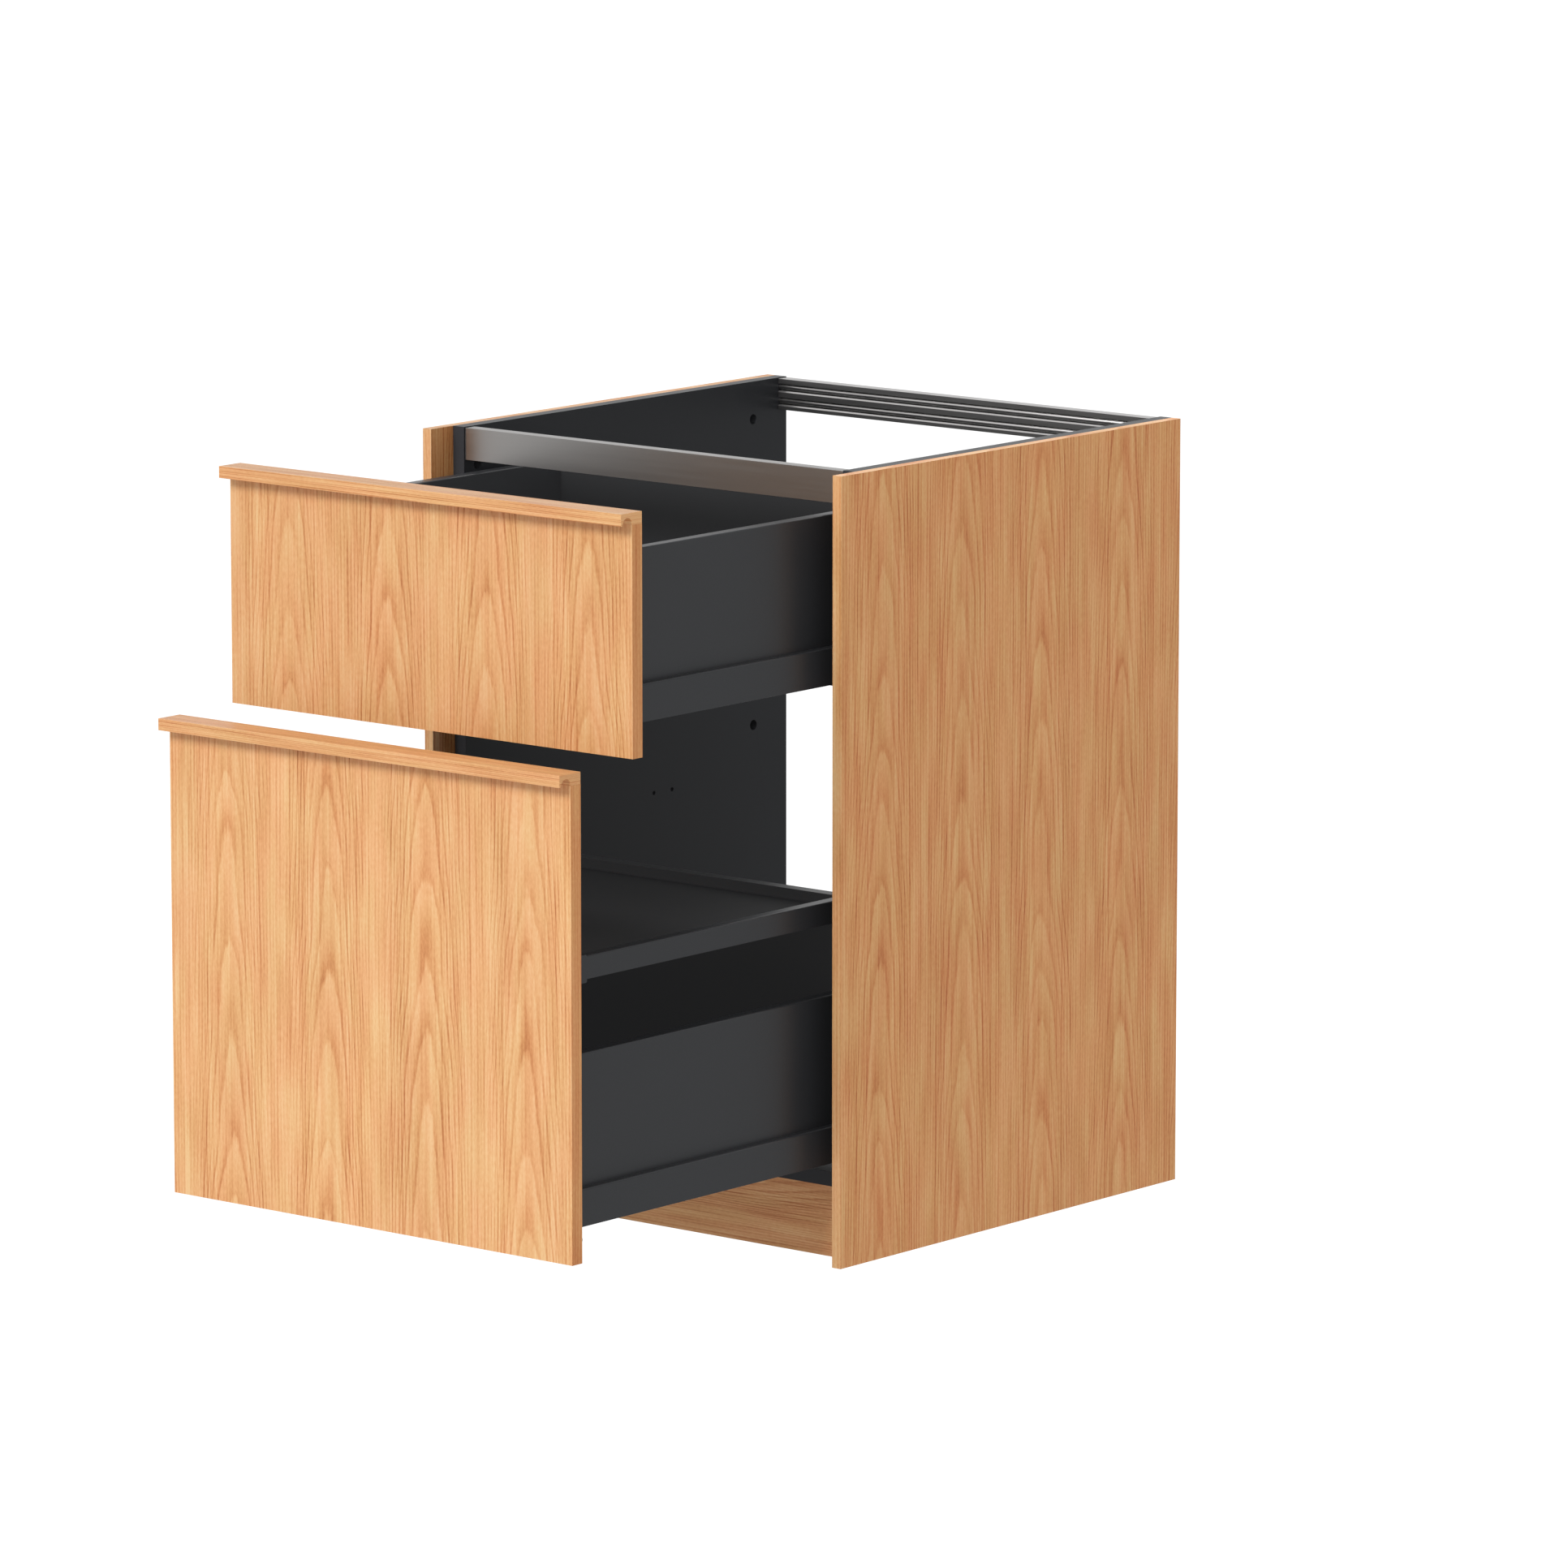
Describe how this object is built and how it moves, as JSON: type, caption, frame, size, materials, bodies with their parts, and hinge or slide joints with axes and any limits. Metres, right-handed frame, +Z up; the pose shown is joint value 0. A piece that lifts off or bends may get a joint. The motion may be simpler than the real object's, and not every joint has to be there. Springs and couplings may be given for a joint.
{
  "type": "vanity unit",
  "caption": "Floor-standing vanity base cabinet with oak fronts and side covers, a dark carcass and metal-sided pull-out drawers with lipped wooden handle strips.",
  "frame": {"origin": "on the floor, in the middle of the width, midway between the furthest pulled-out handle strip and the wall plane", "axes": "+X to the right seen from the front, +Y from the fronts back towards the wall, +Z up to the worktop"},
  "size_m": [0.6, 1.0476, 0.87],
  "materials": {
    "oak_front": "matt lacquered oak veneer and solid oak",
    "oak_cover": "matt lacquered oak veneer",
    "oak_plinth": "matt lacquered oak veneer, grain across",
    "carcass_board": "matt anthracite melamine board",
    "drawer_board": "matt anthracite melamine board",
    "drawer_steel": "fine matt anthracite powder coat",
    "runner_steel": "dark passivated steel",
    "rail_aluminium": "satin dark-anodised extrusion",
    "zinc_steel": "zinc-plated steel",
    "black_steel": "black zinc-plated steel",
    "dark_plastic": "moulded dark plastic"
  },
  "bodies": {
    "cabinet": {"left_side_panel": "carcass_board", "right_side_panel": "carcass_board", "bottom_panel": "carcass_board", "front_rail": "rail_aluminium", "rear_rail": "rail_aluminium", "left_cover_panel": "oak_cover", "right_cover_panel": "oak_cover", "plinth": "oak_plinth", "plinth_clips": "dark_plastic", "leg_sockets": "dark_plastic", "rail_screws": "zinc_steel", "bottom_screws": "zinc_steel", "cover_screws": "black_steel", "runner_screws": "zinc_steel", "top_runner_left": "runner_steel", "top_runner_right": "runner_steel", "inner_runner_left": "runner_steel", "inner_runner_right": "runner_steel", "lower_runner_left": "runner_steel", "lower_runner_right": "runner_steel"},
    "foot_front_left": {"leg_foot_front_left": "dark_plastic"},
    "foot_front_right": {"leg_foot_front_right": "dark_plastic"},
    "foot_back_left": {"leg_foot_back_left": "dark_plastic"},
    "foot_back_right": {"leg_foot_back_right": "dark_plastic"},
    "top_slides": {"top_slide_left": "runner_steel", "top_slide_right": "runner_steel"},
    "inner_slides": {"inner_slide_left": "runner_steel", "inner_slide_right": "runner_steel"},
    "lower_slides": {"lower_slide_left": "runner_steel", "lower_slide_right": "runner_steel"},
    "top_drawer": {"top_front_panel": "oak_front", "top_handle_strip": "oak_front", "top_side_left": "drawer_steel", "top_side_right": "drawer_steel", "top_drawer_bottom": "drawer_board", "top_drawer_back": "drawer_board", "top_front_brackets": "zinc_steel", "top_front_screws": "zinc_steel", "top_back_brackets": "zinc_steel", "top_bumpers": "dark_plastic"},
    "lower_drawer": {"lower_front_panel": "oak_front", "lower_handle_strip": "oak_front", "lower_side_left": "drawer_steel", "lower_side_right": "drawer_steel", "lower_drawer_bottom": "drawer_board", "lower_drawer_back": "drawer_board", "lower_front_brackets": "zinc_steel", "lower_front_screws": "zinc_steel", "lower_back_brackets": "zinc_steel", "lower_bumpers": "dark_plastic"},
    "inner_drawer": {"inner_front_bar": "drawer_steel", "inner_end_caps": "dark_plastic", "inner_side_left": "drawer_steel", "inner_side_right": "drawer_steel", "inner_drawer_bottom": "drawer_board", "inner_drawer_back": "drawer_board", "inner_back_brackets": "zinc_steel"}
  },
  "joints": [
    {"name": "top_drawer_slide", "type": "slide", "parent": "cabinet", "child": "top_drawer", "axis": [0, -1, 0], "range_m": [-0.3485, 0.1515]},
    {"name": "lower_drawer_slide", "type": "slide", "parent": "cabinet", "child": "lower_drawer", "axis": [0, -1, 0], "range_m": [-0.4485, 0.0515]},
    {"name": "inner_drawer_slide", "type": "slide", "parent": "cabinet", "child": "inner_drawer", "axis": [0, -1, 0], "range_m": [-0.4485, 0.0515]},
    {"name": "top_runner_slide", "type": "slide", "parent": "cabinet", "child": "top_slides", "axis": [0, -1, 0], "range_m": [-0.17425, 0.07575]},
    {"name": "lower_runner_slide", "type": "slide", "parent": "cabinet", "child": "lower_slides", "axis": [0, -1, 0], "range_m": [-0.22425, 0.02575]},
    {"name": "inner_runner_slide", "type": "slide", "parent": "cabinet", "child": "inner_slides", "axis": [0, -1, 0], "range_m": [-0.22425, 0.02575]},
    {"name": "foot_front_left_levelling", "type": "slide", "parent": "cabinet", "child": "foot_front_left", "axis": [0, 0, -1], "range_m": [-0.01, 0.015]},
    {"name": "foot_front_right_levelling", "type": "slide", "parent": "cabinet", "child": "foot_front_right", "axis": [0, 0, -1], "range_m": [-0.01, 0.015]},
    {"name": "foot_back_left_levelling", "type": "slide", "parent": "cabinet", "child": "foot_back_left", "axis": [0, 0, -1], "range_m": [-0.01, 0.015]},
    {"name": "foot_back_right_levelling", "type": "slide", "parent": "cabinet", "child": "foot_back_right", "axis": [0, 0, -1], "range_m": [-0.01, 0.015]}
  ],
  "couplings": [
    {"joint": "inner_drawer_slide", "follows": "lower_drawer_slide", "ratio": 1},
    {"joint": "top_runner_slide", "follows": "top_drawer_slide", "ratio": 0.5},
    {"joint": "lower_runner_slide", "follows": "lower_drawer_slide", "ratio": 0.5},
    {"joint": "inner_runner_slide", "follows": "lower_drawer_slide", "ratio": 0.5}
  ]
}
